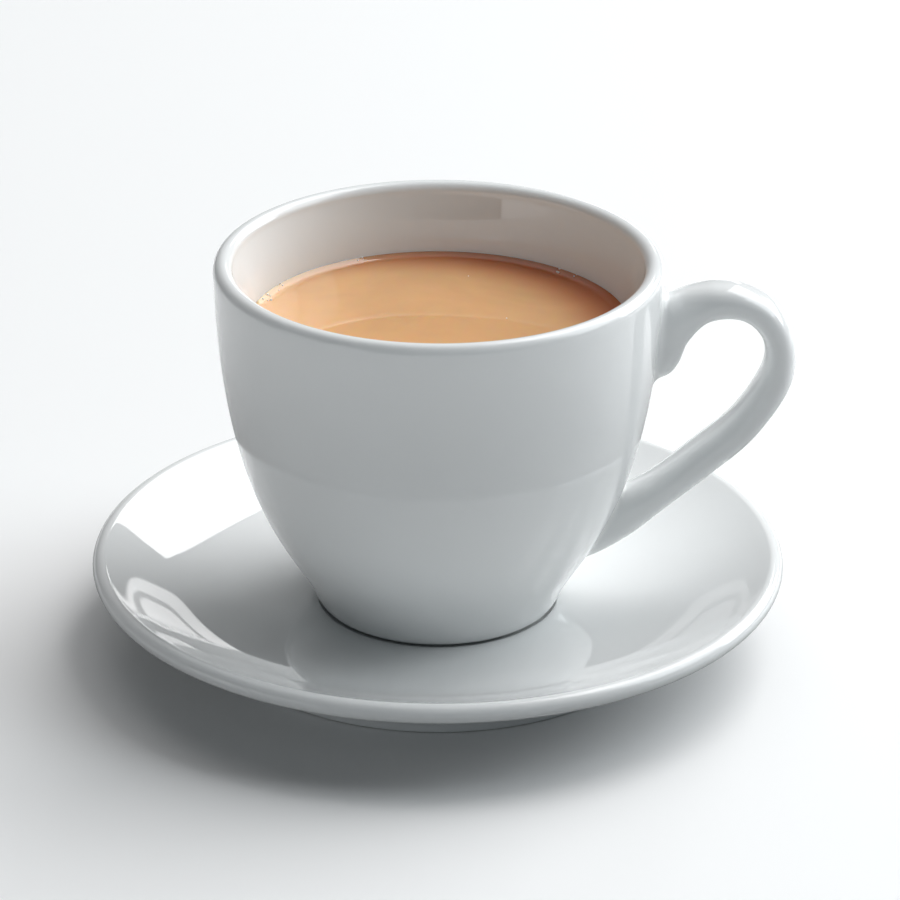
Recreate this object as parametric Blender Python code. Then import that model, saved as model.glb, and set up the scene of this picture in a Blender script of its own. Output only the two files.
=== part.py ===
"""A cup of coffee with milk on its saucer: a thick white glazed cup with an ear-shaped handle, the
drink in it, and a round saucer on a foot ring.

Three solids: saucer, cup (its body and handle are one piece of porcelain) and coffee. Metres, +Z up.
The origin is on the table, under the middle of the saucer; the handle points along +X.
"""

import math

import bmesh
import bpy
from mathutils import Vector
from mathutils.geometry import delaunay_2d_cdt, interpolate_bezier

MM = 0.001
ACROSS = Vector((0, 1, 0))

# ---- driving dimensions --------------------------------------------------------------------------
GAP = 0.3 * MM  # left between pieces that touch

SAUCER_RADIUS = 70.0 * MM
SAUCER_RIM_TOP = 18.1 * MM
SAUCER_LIP = 3.8 * MM  # thickness of the rolled rim
SAUCER_WALL = 4.0 * MM
WELL_TOP = 6.9 * MM  # the flat middle that the cup stands on
WELL_RADIUS = 27.0 * MM
SAUCER_FOOT_RADIUS = 46.0 * MM
SAUCER_FOOT_WIDTH = 2.6 * MM
SAUCER_FOOT_HEIGHT = 3.2 * MM
EDGE = 0.4 * MM  # softening of the edges that a foot stands on

CUP_STANDS_AT = WELL_TOP + GAP
CUP_TOP = 81.2 * MM
CUP_RIM_RADIUS = 44.5 * MM
LIP_RADIUS = 1.9 * MM  # the rim is half a circle in section
CUP_BASE_RADIUS = 25.2 * MM  # where the curve of the wall begins
CUP_BASE_HEIGHT = 2.7 * MM  # of that place, above the underside
CORNER_RADIUS = 1.3 * MM  # of the rounded lower corner
CORNER_CENTRE = 23.5 * MM
CUP_FOOT_RADIUS = 22.9 * MM
CUP_FOOT_WIDTH = 2.2 * MM
CUP_FOOT_HEIGHT = 0.35 * MM  # how far the foot stands out below the corner
CUP_RECESS = 1.6 * MM  # depth of the hollow inside the cup's foot
CUP_FLOOR_TOP = 14.3 * MM

COFFEE_TOP = 67.1 * MM
COFFEE_RADIUS = 38.1 * MM  # of the inner wall at the drink's level

HANDLE_WIDTH = 10.8 * MM
HANDLE_SQUARENESS = 2.3  # exponent of the section's outline: 2 is an ellipse, more is squarer
FILLET_REACH = 1.8 * MM  # how far the round at each root reaches along the handle and along the wall

# The handle's cross sections in the XZ plane, in millimetres: the outer and the inner end of each, from
# inside the wall at the upper root to inside the wall at the lower one.
HANDLE_SECTIONS = (
    ((39.8, 71.9), (39.6, 54.9)),  # buried in the wall
    ((45.4, 73.7), (45.4, 56.8)),
    ((48.3, 74.9), (47.7, 59.6)),  # the spur under the upper root
    ((51.2, 75.7), (49.3, 64.0)),
    ((55.2, 76.2), (53.2, 68.4)),
    ((60.6, 75.5), (58.9, 69.2)),  # the crest
    ((66.9, 71.8), (62.7, 67.1)),
    ((70.9, 64.1), (64.8, 63.0)),
    ((70.1, 54.5), (64.1, 57.3)),
    ((63.6, 43.8), (58.8, 48.7)),
    ((55.6, 36.1), (50.9, 41.5)),  # the straight lower arm
    ((46.9, 28.7), (42.7, 34.7)),
    ((39.2, 22.0), (36.2, 31.2)),
    ((31.6, 17.2), (30.6, 29.9)),  # it widens into the wall
    ((24.0, 14.7), (24.4, 29.7)),  # buried in the wall
)

AROUND = 64  # sides of every turned piece
WALL_RINGS = 14
BOWL_RINGS = 9
ROUND_HANDLE = 18  # sides of the handle
HANDLE_RINGS = 28
FILLET_RINGS = 3
LINE_SAMPLES = 240  # of a lengthwise line of the handle, before it is cut at the wall
PATCH_COLUMNS = 4  # columns of the wall on each side of the handle that are meshed around its roots
ROOT_CLEARANCE = 1.7 * MM  # how near to a root the wall's own points may lie


# ---- curves in (radius, height) ------------------------------------------------------------------
def curve(start, pull_start, pull_end, end, count):
    """Points of a cubic Bezier curve, both ends included."""
    knots = [Vector((*point, 0)) for point in (start, pull_start, pull_end, end)]
    return [(point.x, point.y) for point in interpolate_bezier(*knots, count)]


def arc(centre, radius, from_degrees, to_degrees, count):
    """Points of a circular arc, both ends included."""
    points = []
    for i in range(count):
        angle = math.radians(from_degrees + (to_degrees - from_degrees) * i / (count - 1))
        points.append((centre[0] + radius * math.cos(angle), centre[1] + radius * math.sin(angle)))
    return points


def outer_wall(count):
    """The cup's outside, from its lower corner up to the lip: an egg-like curve, almost upright above."""
    start = (CUP_BASE_RADIUS, CUP_STANDS_AT + CUP_BASE_HEIGHT)
    end = (CUP_RIM_RADIUS, CUP_TOP - LIP_RADIUS)
    return curve(start, (29.0 * MM, 20.2 * MM), (43.5 * MM, 28.9 * MM), end, count)


def bare_inner_wall(count):
    """The inside above the drink, from the lip down to the drink's level."""
    start = (CUP_RIM_RADIUS - 2 * LIP_RADIUS, CUP_TOP - LIP_RADIUS)
    end = (COFFEE_RADIUS, COFFEE_TOP)
    return curve(start, (39.8 * MM, 75.6 * MM), (38.5 * MM, 71.1 * MM), end, count)


def bowl(count):
    """The inside below the drink's level, down to the middle of the floor."""
    start = (COFFEE_RADIUS, COFFEE_TOP)
    return curve(start, (35.6 * MM, 43.3 * MM), (33.0 * MM, CUP_FLOOR_TOP), (0, CUP_FLOOR_TOP), count)


# ---- profiles, each from the axis below, round the outside, to the axis above --------------------
def saucer_profile():
    foot_outer = SAUCER_FOOT_RADIUS
    foot_inner = foot_outer - SAUCER_FOOT_WIDTH
    ceiling = WELL_TOP - SAUCER_WALL
    lip = SAUCER_LIP / 2
    lip_centre = (SAUCER_RADIUS - lip, SAUCER_RIM_TOP - lip)
    under_rim = arc(lip_centre, lip, -60, 120, 8)
    foot_top = (foot_outer + 1.0 * MM, SAUCER_FOOT_HEIGHT)
    underside = curve(foot_top, (51.0 * MM, 7.0 * MM), (60.0 * MM, 10.8 * MM), under_rim[0], 7)
    dish = curve(under_rim[-1], (62.8 * MM, 15.7 * MM), (47.0 * MM, WELL_TOP), (WELL_RADIUS, WELL_TOP), 11)
    return [
        (0, ceiling),
        (foot_inner - 2.0 * MM, ceiling),
        (foot_inner - EDGE, ceiling - 0.9 * MM),
        (foot_inner, EDGE),
        (foot_inner + EDGE, 0),
        (foot_outer - EDGE, 0),
        (foot_outer, EDGE),
        (foot_outer + 0.2 * MM, SAUCER_FOOT_HEIGHT - 0.9 * MM),
        *underside,
        *under_rim[1:],
        *dish[1:],
        (0, WELL_TOP),
    ]


def cup_below_wall():
    base = CUP_STANDS_AT
    foot_inner = CUP_FOOT_RADIUS - CUP_FOOT_WIDTH
    corner = (CORNER_CENTRE, base + CUP_FOOT_HEIGHT + CORNER_RADIUS)
    return [
        (0, base + CUP_RECESS),
        (foot_inner - 1.2 * MM, base + CUP_RECESS),
        (foot_inner, base + EDGE),
        (foot_inner + EDGE, base),
        (CUP_FOOT_RADIUS - EDGE, base),
        (CUP_FOOT_RADIUS, base + CUP_FOOT_HEIGHT),
        *arc(corner, CORNER_RADIUS, -80, -20, 4),
    ]


def cup_above_wall():
    lip = (CUP_RIM_RADIUS - LIP_RADIUS, CUP_TOP - LIP_RADIUS)
    return [*arc(lip, LIP_RADIUS, 0, 180, 9)[1:-1], *bare_inner_wall(4), *bowl(BOWL_RINGS)[1:]]


def coffee_profile():
    """The bowl's shape, one gap smaller, up to the level of the drink."""
    below = [(radius - GAP, height + GAP) for radius, height in reversed(bowl(BOWL_RINGS)[1:-1])]
    side = (COFFEE_RADIUS - GAP, COFFEE_TOP - EDGE)
    edge = (COFFEE_RADIUS - GAP - EDGE, COFFEE_TOP)
    return [(0, CUP_FLOOR_TOP + GAP), *below, side, edge, (0, COFFEE_TOP)]


# ---- turned pieces -------------------------------------------------------------------------------
def turned(work, profile, left_out=lambda ring, column: False):
    """A closed solid of revolution about Z, apart from the faces left out. It returns its rings."""
    low = work.verts.new((0, 0, profile[0][1]))
    high = work.verts.new((0, 0, profile[-1][1]))
    angles = [2 * math.pi * i / AROUND for i in range(AROUND)]
    rings = []
    for radius, height in profile[1:-1]:
        rings.append([work.verts.new((radius * math.cos(a), radius * math.sin(a), height)) for a in angles])
    for column in range(AROUND):
        beside = (column + 1) % AROUND
        work.faces.new((low, rings[0][beside], rings[0][column]))
        work.faces.new((high, rings[-1][column], rings[-1][beside]))
        for ring in range(len(rings) - 1):
            if not left_out(ring, column):
                under, over = rings[ring], rings[ring + 1]
                work.faces.new((under[column], under[beside], over[beside], over[column]))
    return rings


def finished(name, work, material):
    """Ends a bmesh as a smooth object of that name and material, its faces pointing out."""
    bmesh.ops.delete(work, geom=[v for v in work.verts if not v.link_faces], context="VERTS")
    bmesh.ops.recalc_face_normals(work, faces=work.faces)
    mesh = bpy.data.meshes.new(name)
    work.to_mesh(mesh)
    work.free()
    mesh.shade_smooth()
    mesh.set_sharp_from_angle(angle=math.radians(40))
    mesh.materials.append(material)
    made = bpy.data.objects.new(name, mesh)
    bpy.context.scene.collection.objects.link(made)
    return made


# ---- the handle and its roots --------------------------------------------------------------------
class Wall:
    """The cup's outside as a surface that the handle can be fitted to."""

    def __init__(self):
        self.points = outer_wall(300)

    def at(self, height):
        """Radius and slope (change of radius with height) at a height."""
        pairs = list(zip(self.points, self.points[1:]))
        low, high = next((pair for pair in pairs if pair[1][1] >= height), pairs[-1])
        slope = (high[0] - low[0]) / (high[1] - low[1])
        return low[0] + slope * (height - low[1]), slope

    def clearance(self, point):
        """How far a point stands outside the wall, along the radius."""
        return math.hypot(point.x, point.y) - self.at(point.z)[0]

    def normal(self, point):
        out = Vector((point.x, point.y, 0)).normalized()
        out.z = -self.at(point.z)[1]
        return out.normalized()

    def onto(self, point):
        """The point of the wall at a point's height and bearing."""
        flat = Vector((point.x, point.y, 0)).normalized() * self.at(point.z)[0]
        return Vector((flat.x, flat.y, point.z))


def through(points, position):
    """A point on the smooth (Catmull-Rom) curve through a list of points; position counts in points."""
    i = min(int(position), len(points) - 2)
    t = position - i
    p0, p1, p2, p3 = (points[max(0, min(len(points) - 1, k))] for k in (i - 1, i, i + 1, i + 2))
    return 0.5 * (
        2 * p1 + (p2 - p0) * t + (2 * p0 - 5 * p1 + 4 * p2 - p3) * t**2 + (3 * p1 - p0 - 3 * p2 + p3) * t**3
    )


def lengthwise_line(turn):
    """One line of the handle's skin from root to root; turn is its angle round the section, 0 outside."""
    power = 2 / HANDLE_SQUARENESS
    out = math.copysign(abs(math.cos(turn)) ** power, math.cos(turn))
    side = math.copysign(abs(math.sin(turn)) ** power, math.sin(turn))
    outer = [Vector((x * MM, 0, z * MM)) for (x, z), _ in HANDLE_SECTIONS]
    inner = [Vector((x * MM, 0, z * MM)) for _, (x, z) in HANDLE_SECTIONS]
    line = []
    for i in range(LINE_SAMPLES + 1):
        position = (len(HANDLE_SECTIONS) - 1) * i / LINE_SAMPLES
        high, low = through(outer, position), through(inner, position)
        line.append((high + low) / 2 + (high - low) / 2 * out + ACROSS * (HANDLE_WIDTH / 2 * side))
    return line


def cut_at_wall(line, wall):
    """The line from where it leaves the wall: that crossing first, then the samples beyond it."""
    outside = next(i for i, point in enumerate(line) if wall.clearance(point) > 0)
    before, after = line[outside - 1], line[outside]
    share = -wall.clearance(before) / (wall.clearance(after) - wall.clearance(before))
    return [before.lerp(after, share), *line[outside:]]


def trimmed(line, length):
    """The line without its first stretch of that length."""
    left = length
    for i, (here, there) in enumerate(zip(line, line[1:])):
        step = (there - here).length
        if step >= left:
            return [here.lerp(there, left / step), *line[i + 1 :]]
        left -= step
    raise ValueError("the line is shorter than the stretch to be taken off")


def fillet(on_wall, along_wall, on_handle, along_handle):
    """Points of the round between wall and handle, from the wall on. Both directions point out of it."""
    turn = math.pi - along_wall.angle(along_handle)
    pull = FILLET_REACH * 4 / 3 * math.tan(turn / 4) / math.tan(turn / 2)
    knots = (on_wall, on_wall - along_wall * pull, on_handle - along_handle * pull, on_handle)
    return interpolate_bezier(*knots, FILLET_RINGS + 2)


def rooted(lines, wall):
    """Cuts the lines at the wall they start in. Returns a fillet for each and what is left of the lines."""
    cut = [cut_at_wall(line, wall) for line in lines]
    middle = sum((line[0] for line in cut), Vector()) / len(cut)
    fillets, rest = [], []
    for i, line in enumerate(cut):
        crossing = line[0]
        round_root = cut[(i + 1) % len(cut)][0] - cut[i - 1][0]
        away = round_root.cross(wall.normal(crossing)).normalized()
        if away.dot(crossing - middle) < 0:
            away = -away
        on_wall = wall.onto(crossing + away * FILLET_REACH)
        normal = wall.normal(on_wall)
        along_wall = (away - normal * away.dot(normal)).normalized()
        left = trimmed(line, FILLET_REACH)
        along_handle = (left[1] - left[0]).normalized()
        fillets.append(fillet(on_wall, along_wall, left[0], along_handle))
        rest.append(left)
    return fillets, rest


def handle_lines(wall):
    """Every lengthwise line of the handle: its two fillets with evenly spaced points between them."""
    turns = [2 * math.pi * i / ROUND_HANDLE for i in range(ROUND_HANDLE)]
    upper, rest = rooted([lengthwise_line(turn) for turn in turns], wall)
    lower, rest = rooted([line[::-1] for line in rest], wall)
    lines = []
    for start, line, end in zip(upper, rest, lower):
        between = []
        for ring in range(1, HANDLE_RINGS):
            position = (len(line) - 1) * (1 - ring / HANDLE_RINGS)
            i = min(int(position), len(line) - 2)
            between.append(line[i].lerp(line[i + 1], position - i))
        lines.append([*start, *between, *reversed(end)])
    return lines


def inside(point, loop):
    """Whether a flat point is inside a closed flat loop."""
    crossings = 0
    for a, b in zip(loop, loop[1:] + loop[:1]):
        if (a.y > point.y) != (b.y > point.y):
            crossings += point.x < a.x + (point.y - a.y) * (b.x - a.x) / (b.y - a.y)
    return crossings % 2 == 1


def unrolled(vert):
    """A point of the wall on a flat sheet: distance round the cup and height."""
    return Vector((math.atan2(vert.co.y, vert.co.x) * CUP_RIM_RADIUS, vert.co.z))


def fill_wall(work, rings, roots):
    """Fills the part of the wall that its turned rings leave open, around the holes of the handle."""
    width = 2 * math.pi / AROUND * CUP_RIM_RADIUS
    columns = range(-PATCH_COLUMNS, PATCH_COLUMNS + 1)
    flat = {}
    for ring in rings:
        for column in columns:
            flat[ring[column % AROUND]] = Vector((column * width, ring[0].co.z))
    low, high = ([ring[column % AROUND] for column in columns] for ring in (rings[0], rings[-1]))
    left, right = ([ring[column % AROUND] for ring in rings] for column in (columns[0], columns[-1]))
    border = [*low, *right[1:-1], *reversed(high), *reversed(left[1:-1])]
    loops = [[unrolled(vert) for vert in root] for root in roots]
    loose = []
    for vert in set(flat) - set(border):
        near = min((flat[vert] - point).length for loop in loops for point in loop)
        if near > ROOT_CLEARANCE and not any(inside(flat[vert], loop) for loop in loops):
            loose.append(vert)
    loose.sort(key=lambda vert: tuple(flat[vert]))
    verts, places, edges = [], [], []
    for closed, closed_places in zip((border, *roots), ([flat[vert] for vert in border], *loops)):
        first, count = len(verts), len(closed)
        verts += closed
        places += closed_places
        edges += [(first + i, first + (i + 1) % count) for i in range(count)]
    verts += loose
    places += [flat[vert] for vert in loose]
    for triangle in delaunay_2d_cdt(places, edges, [], 0, 1e-7)[2]:
        centre = sum((places[i] for i in triangle), Vector((0, 0))) / 3
        if not any(inside(centre, loop) for loop in loops):
            work.faces.new([verts[i] for i in triangle])


def cup(material):
    """The turned body with the handle growing out of its wall, as one closed skin."""
    below, outside = cup_below_wall(), outer_wall(WALL_RINGS)
    first = len(below) - 1  # the ring that the wall starts on; the profile's first point is on the axis
    last = first + len(outside) - 1

    def meshed_round_roots(ring, column):
        near_handle = column < PATCH_COLUMNS or column >= AROUND - PATCH_COLUMNS
        return near_handle and first <= ring < last

    work = bmesh.new()
    rings = turned(work, [*below, *outside, *cup_above_wall()], meshed_round_roots)
    lines = [[work.verts.new(point) for point in line] for line in handle_lines(Wall())]
    for i, line in enumerate(lines):
        beside = lines[(i + 1) % len(lines)]
        for k in range(len(line) - 1):
            work.faces.new((line[k], line[k + 1], beside[k + 1], beside[k]))
    fill_wall(work, rings[first : last + 1], ([line[0] for line in lines], [line[-1] for line in lines]))
    return finished("cup", work, material)


def turned_piece(name, profile, material):
    work = bmesh.new()
    turned(work, profile)
    return finished(name, work, material)


def glossy(name, colour, roughness):
    material = bpy.data.materials.new(name)
    material.use_nodes = True
    shader = material.node_tree.nodes["Principled BSDF"]
    shader.inputs["Base Color"].default_value = (*colour, 1)
    shader.inputs["Roughness"].default_value = roughness
    shader.inputs["Metallic"].default_value = 0
    return material


def main():
    for left_over in list(bpy.data.objects):
        bpy.data.objects.remove(left_over)
    porcelain = glossy("white_glaze", (0.80, 0.81, 0.81), 0.08)
    drink = glossy("milky_coffee", (0.62, 0.36, 0.18), 0.15)
    turned_piece("saucer", saucer_profile(), porcelain)
    cup(porcelain)
    turned_piece("coffee", coffee_profile(), drink)


main()
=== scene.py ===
"""A cup of coffee with milk: glazed cup with an ear-shaped handle, the drink in it and a dished saucer."""

import math

import bmesh
import bpy
from bpy.props import FloatProperty, FloatVectorProperty, IntProperty, PointerProperty
from mathutils import Matrix, Vector
from mathutils.geometry import delaunay_2d_cdt, interpolate_bezier


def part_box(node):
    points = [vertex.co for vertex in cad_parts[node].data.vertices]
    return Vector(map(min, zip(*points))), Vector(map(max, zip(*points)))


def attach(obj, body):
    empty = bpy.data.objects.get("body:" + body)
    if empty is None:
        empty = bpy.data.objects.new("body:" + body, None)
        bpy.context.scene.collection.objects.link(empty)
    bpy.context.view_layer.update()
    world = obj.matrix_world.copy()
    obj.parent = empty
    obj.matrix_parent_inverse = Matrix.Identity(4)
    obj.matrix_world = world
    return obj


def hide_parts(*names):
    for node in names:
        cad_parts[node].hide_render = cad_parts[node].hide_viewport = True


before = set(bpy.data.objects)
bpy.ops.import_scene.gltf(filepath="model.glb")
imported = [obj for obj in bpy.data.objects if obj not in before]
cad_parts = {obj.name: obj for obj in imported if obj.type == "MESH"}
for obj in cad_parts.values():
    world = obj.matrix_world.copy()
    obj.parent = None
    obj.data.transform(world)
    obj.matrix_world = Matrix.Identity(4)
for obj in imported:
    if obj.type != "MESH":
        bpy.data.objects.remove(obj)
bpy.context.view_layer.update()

bl_info = {
    "name": "Cup of Coffee",
    "version": (1, 0, 0),
    "blender": (4, 5, 0),
    "location": "3D View > Sidebar > Coffee",
    "description": "Makes a filled coffee cup on its saucer and a plain studio around it",
    "category": "Add Mesh",
}

MM = 0.001
ACROSS = Vector((0, 1, 0))
SAUCER_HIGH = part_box("saucer")[1]
CUP_LOW, CUP_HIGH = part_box("cup")
DRINK_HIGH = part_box("coffee")[1]
GAP = 0.3 * MM  # between the cup and what it touches
SIDES = 192  # of everything that is turned
SEAM = 0.005 * MM  # points nearer than this are one, which closes a turned piece's seam and poles

LINE_SAMPLES = 900  # along each of the handle's lines, before it is cut and trimmed
# The handle's cross sections in the XZ plane, in millimetres: the outer and the inner end of each, from
# inside the wall at the upper root to inside the wall at the lower one.
HANDLE_SECTIONS = (
    ((39.8, 71.9), (39.6, 54.9)),  # buried in the wall
    ((45.4, 73.7), (45.4, 56.8)),
    ((48.3, 74.9), (47.7, 59.6)),  # the spur under the upper root
    ((51.2, 75.7), (49.3, 64.0)),
    ((55.2, 76.2), (53.2, 68.4)),
    ((60.6, 75.5), (58.9, 69.2)),  # the crest
    ((66.9, 71.8), (62.7, 67.1)),
    ((70.9, 64.1), (64.8, 63.0)),
    ((70.1, 54.5), (64.1, 57.3)),
    ((63.6, 43.8), (58.8, 48.7)),
    ((55.6, 36.1), (50.9, 41.5)),  # the straight lower arm
    ((46.9, 28.7), (42.7, 34.7)),
    ((39.2, 22.0), (36.2, 31.2)),
    ((31.6, 17.2), (30.6, 29.9)),  # it widens into the wall
    ((24.0, 14.7), (24.4, 29.7)),  # buried in the wall
)


# ---- sizes and colours ----
def length(name, description, millimetres):
    default = millimetres * MM
    return FloatProperty(name=name, description=description, default=default, unit="LENGTH", precision=5)


def colour(name, description, default):
    return FloatVectorProperty(
        name=name, description=description, default=default, size=3, min=0, max=1, subtype="COLOR"
    )


class SaucerSizes(bpy.types.PropertyGroup):
    radius: length("Radius", "Outer radius of the saucer", SAUCER_HIGH[1] / MM)
    rim_top: length("Rim height", "Top of the rim above the table", SAUCER_HIGH[2] / MM)
    lip: length("Rim thickness", "Thickness of the rolled rim", 3.8)
    wall: length("Wall", "Thickness of the dish", 4.0)
    seat_top: length("Seat height", "Top of the flat seat that the cup stands on, above the table", 6.9)
    seat_radius: length("Seat radius", "Radius of the seat", 24.3)
    seat_depth: length("Seat depth", "How far the seat lies below the dish round it", 0.9)
    well_radius: length("Well radius", "Radius where the dish begins to rise", 27.0)
    foot_radius: length("Foot radius", "Outer radius of the foot ring", 46.0)
    foot_width: length("Foot width", "Width of the foot ring", 2.6)
    foot_height: length("Foot height", "Height of the foot ring", 3.2)
    edge: length("Foot edge", "Softening of the edges that a foot stands on", 0.4)


class CupSizes(bpy.types.PropertyGroup):
    top: length("Height", "Top of the rim above the table", CUP_HIGH[2] / MM)
    stands_at: length("Underside", "Underside of the foot above the table", CUP_LOW[2] / MM)
    rim_radius: length("Rim radius", "Outer radius of the rim", -CUP_LOW[0] / MM)
    lip_radius: length("Lip radius", "Half the thickness of the rounded rim", 1.9)
    base_radius: length("Base radius", "Radius where the curve of the wall begins", 25.2)
    base_height: length("Base height", "Height of that place above the underside", 2.7)
    corner_radius: length("Corner radius", "Rounding of the lower corner", 2.0)
    corner_centre: length("Corner centre", "Distance of the corner's centre from the axis", 22.85)
    foot_radius: length("Foot radius", "Outer radius of the foot ring", 20.8)
    foot_width: length("Foot width", "Width of the foot ring", 2.2)
    foot_height: length("Foot height", "How far the foot stands out below the corner", 0.5)
    edge: length("Foot edge", "Softening of the edges that the foot stands on", 0.4)
    recess: length("Foot recess", "Depth of the hollow inside the foot ring", 1.6)
    floor_top: length("Floor", "Top of the inside's floor above the table", 14.3)
    handle_width: length("Handle width", "Width of the handle across the cup", 10.8)
    handle_squareness: FloatProperty(
        name="Handle squareness", description="Exponent of the handle's section: 2 is an ellipse", default=2.3
    )
    fillet_reach: length("Handle fillet", "Reach of the round where the handle meets the wall", 1.8)


class DrinkSizes(bpy.types.PropertyGroup):
    level: length("Fill line", "Height of the fill line above the table", DRINK_HIGH[2] / MM)
    dip: length("Dip", "How far the flat middle lies below the fill line", 0.8)
    radius: length("Radius", "Radius of the inner wall at that level", DRINK_HIGH[0] / MM + GAP / MM)
    slope: FloatProperty(name="Edge slope", description="How steeply the edge climbs the wall", default=0.7)
    edge_width: length("Edge width", "How far from the wall the surface begins to rise", 1.4)
    rounding: length("Edge rounding", "How softly the surface begins to rise", 0.4)


class BubbleSizes(bpy.types.PropertyGroup):
    seed: IntProperty(name="Seed", description="Gives another scatter of the bubbles", default=4)
    smallest: length("Smallest", "Radius of the smallest bubble", 0.1)
    largest: length("Largest", "Radius of the largest bubble", 0.26)


class Looks(bpy.types.PropertyGroup):
    glaze: colour("Glaze", "Colour of the white glaze", (0.80, 0.81, 0.81))
    bare_clay: colour("Bare clay", "Colour of the unglazed foot rings", (0.5, 0.47, 0.43))
    coffee: colour("Coffee", "Colour of the coffee with milk", (0.72, 0.41, 0.195))
    # Painted shade: the darker, redder brown that the drink is painted towards its back and right, where
    # shade falls.
    painted_shade_coffee: colour("Deep coffee", "Colour of the coffee where it holds less milk", (0.6, 0.155, 0.045))
    floor: colour("Floor", "Colour of the studio floor", (0.88, 0.88, 0.88))


class CoffeeSettings(bpy.types.PropertyGroup):
    saucer: PointerProperty(type=SaucerSizes, name="Saucer", description="Sizes of the saucer")
    cup: PointerProperty(type=CupSizes, name="Cup", description="Sizes of the cup")
    drink: PointerProperty(type=DrinkSizes, name="Drink", description="Sizes of the drink")
    bubbles: PointerProperty(type=BubbleSizes, name="Bubbles", description="Sizes of the bubbles")
    looks: PointerProperty(type=Looks, name="Looks", description="Colours of the glaze, drink and floor")


def settings():
    return bpy.context.scene.cup_of_coffee


def in_scene(name, data):
    """A new object of that name, linked to the scene."""
    made = bpy.data.objects.new(name, data)
    bpy.context.scene.collection.objects.link(made)
    return made


# ---- curves in (radius, height) ----
# The two points that pull each curve between its ends.
CUP_OUTSIDE = (29.0 * MM, 20.2 * MM), (43.5 * MM, 28.9 * MM)
CUP_INSIDE = (39.8 * MM, 75.6 * MM), (38.5 * MM, 71.1 * MM)
SAUCER_UNDERSIDE = (51.0 * MM, 7.0 * MM), (60.0 * MM, 10.8 * MM)
# The second of these pulls at the height of the bowl's floor or of the seat.
BOWL_SIDE, BOWL_FLOOR_REACH = (35.6 * MM, 43.3 * MM), 33.0 * MM
DISH_SIDE, DISH_FLOOR_REACH = (62.8 * MM, 15.7 * MM), 47.0 * MM


def curve(start, pull_start, pull_end, end, count):
    """Points of a cubic Bezier curve, both ends included."""
    knots = [Vector((*point, 0)) for point in (start, pull_start, pull_end, end)]
    return [(point.x, point.y) for point in interpolate_bezier(*knots, count)]


def arc(centre, radius, from_degrees, to_degrees, count):
    """Points of a circular arc, both ends included."""
    points = []
    for i in range(count):
        angle = math.radians(from_degrees + (to_degrees - from_degrees) * i / (count - 1))
        points.append((centre[0] + radius * math.cos(angle), centre[1] + radius * math.sin(angle)))
    return points


def circle(count):
    """Evenly spaced points of a circle of radius 1."""
    return [(math.cos(math.tau * i / count), math.sin(math.tau * i / count)) for i in range(count)]


def outer_wall(count):
    """The cup's outside, from its lower corner up to the lip: an egg-like curve, almost upright above."""
    cup = settings().cup
    start = (cup.base_radius, cup.stands_at + cup.base_height)
    end = (cup.rim_radius, cup.top - cup.lip_radius)
    return curve(start, *CUP_OUTSIDE, end, count)


def bare_inner_wall(count):
    """The inside above the drink, from the lip down to the drink's level."""
    cup, drink = settings().cup, settings().drink
    start = (cup.rim_radius - 2 * cup.lip_radius, cup.top - cup.lip_radius)
    return curve(start, *CUP_INSIDE, (drink.radius, drink.level), count)


def bowl(count):
    """The inside below the drink's level, down to the middle of the floor."""
    cup, drink = settings().cup, settings().drink
    start = (drink.radius, drink.level)
    return curve(start, BOWL_SIDE, (BOWL_FLOOR_REACH, cup.floor_top), (0, cup.floor_top), count)


# ---- profiles, each from the axis below, round the outside, to the axis above ----
def saucer_profile(size):
    foot_outer = size.foot_radius
    foot_inner = foot_outer - size.foot_width
    ceiling = size.seat_top - size.wall
    well_top = size.seat_top + size.seat_depth
    lip = size.lip / 2
    lip_centre = (size.radius - lip, size.rim_top - lip)
    under_rim = arc(lip_centre, lip, -60, 120, 28)
    foot_top = (foot_outer + 1.0 * MM, size.foot_height)
    underside = curve(foot_top, *SAUCER_UNDERSIDE, under_rim[0], 24)
    dish_end = (size.well_radius, well_top)
    dish = curve(under_rim[-1], DISH_SIDE, (DISH_FLOOR_REACH, size.seat_top), dish_end, 48)
    edge, step = size.edge, size.seat_depth * 0.4  # the rounding of the foot's edges and of the seat's step
    return [
        (0, ceiling),
        (foot_inner * 0.5, ceiling),
        (foot_inner - 4.0 * MM, ceiling),
        *curve(  # from the hollow's ceiling down the inside of the foot ring
            (foot_inner - 2.5 * MM, ceiling),
            (foot_inner - 0.8 * MM, ceiling),
            (foot_inner - 0.2 * MM, ceiling - 0.6 * MM),
            (foot_inner, edge + 0.3 * MM),
            8,
        ),
        *arc((foot_inner + edge, edge), edge, 180, 270, 5),
        *arc((foot_outer - edge, edge), edge, -90, 0, 5),
        *curve(  # up the outside of the foot ring, which widens into the underside
            (foot_outer, edge + 0.3 * MM),
            (foot_outer, size.foot_height - 0.9 * MM),
            (foot_outer + 0.3 * MM, size.foot_height - 0.5 * MM),
            foot_top,
            7,
        )[:-1],
        *underside,
        *under_rim[1:],
        *dish[1:],
        *arc((size.seat_radius + step, well_top - step), step, 90, 180, 6),
        *arc((size.seat_radius - step, size.seat_top + step), step, 0, -90, 6),
        (size.seat_radius * 0.66, size.seat_top),
        (size.seat_radius * 0.33, size.seat_top),
        (0, size.seat_top),
    ]


def cup_below_wall(size):
    base, edge = size.stands_at, size.edge
    foot_inner = size.foot_radius - size.foot_width
    corner = (size.corner_centre, base + size.foot_height + size.corner_radius)
    return [
        (0, base + size.recess),
        (foot_inner * 0.5, base + size.recess),
        *curve(  # from the recess down the inside of the foot ring
            (foot_inner - 2.0 * MM, base + size.recess),
            (foot_inner - 0.6 * MM, base + size.recess),
            (foot_inner, base + size.recess - 0.5 * MM),
            (foot_inner, base + edge),
            8,
        ),
        *arc((foot_inner + edge, base + edge), edge, 180, 270, 5)[1:],
        *arc((size.foot_radius - edge, base + edge), edge, -90, 0, 5),
        *arc(corner, size.corner_radius, -88, -20, 10),
    ]


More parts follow.
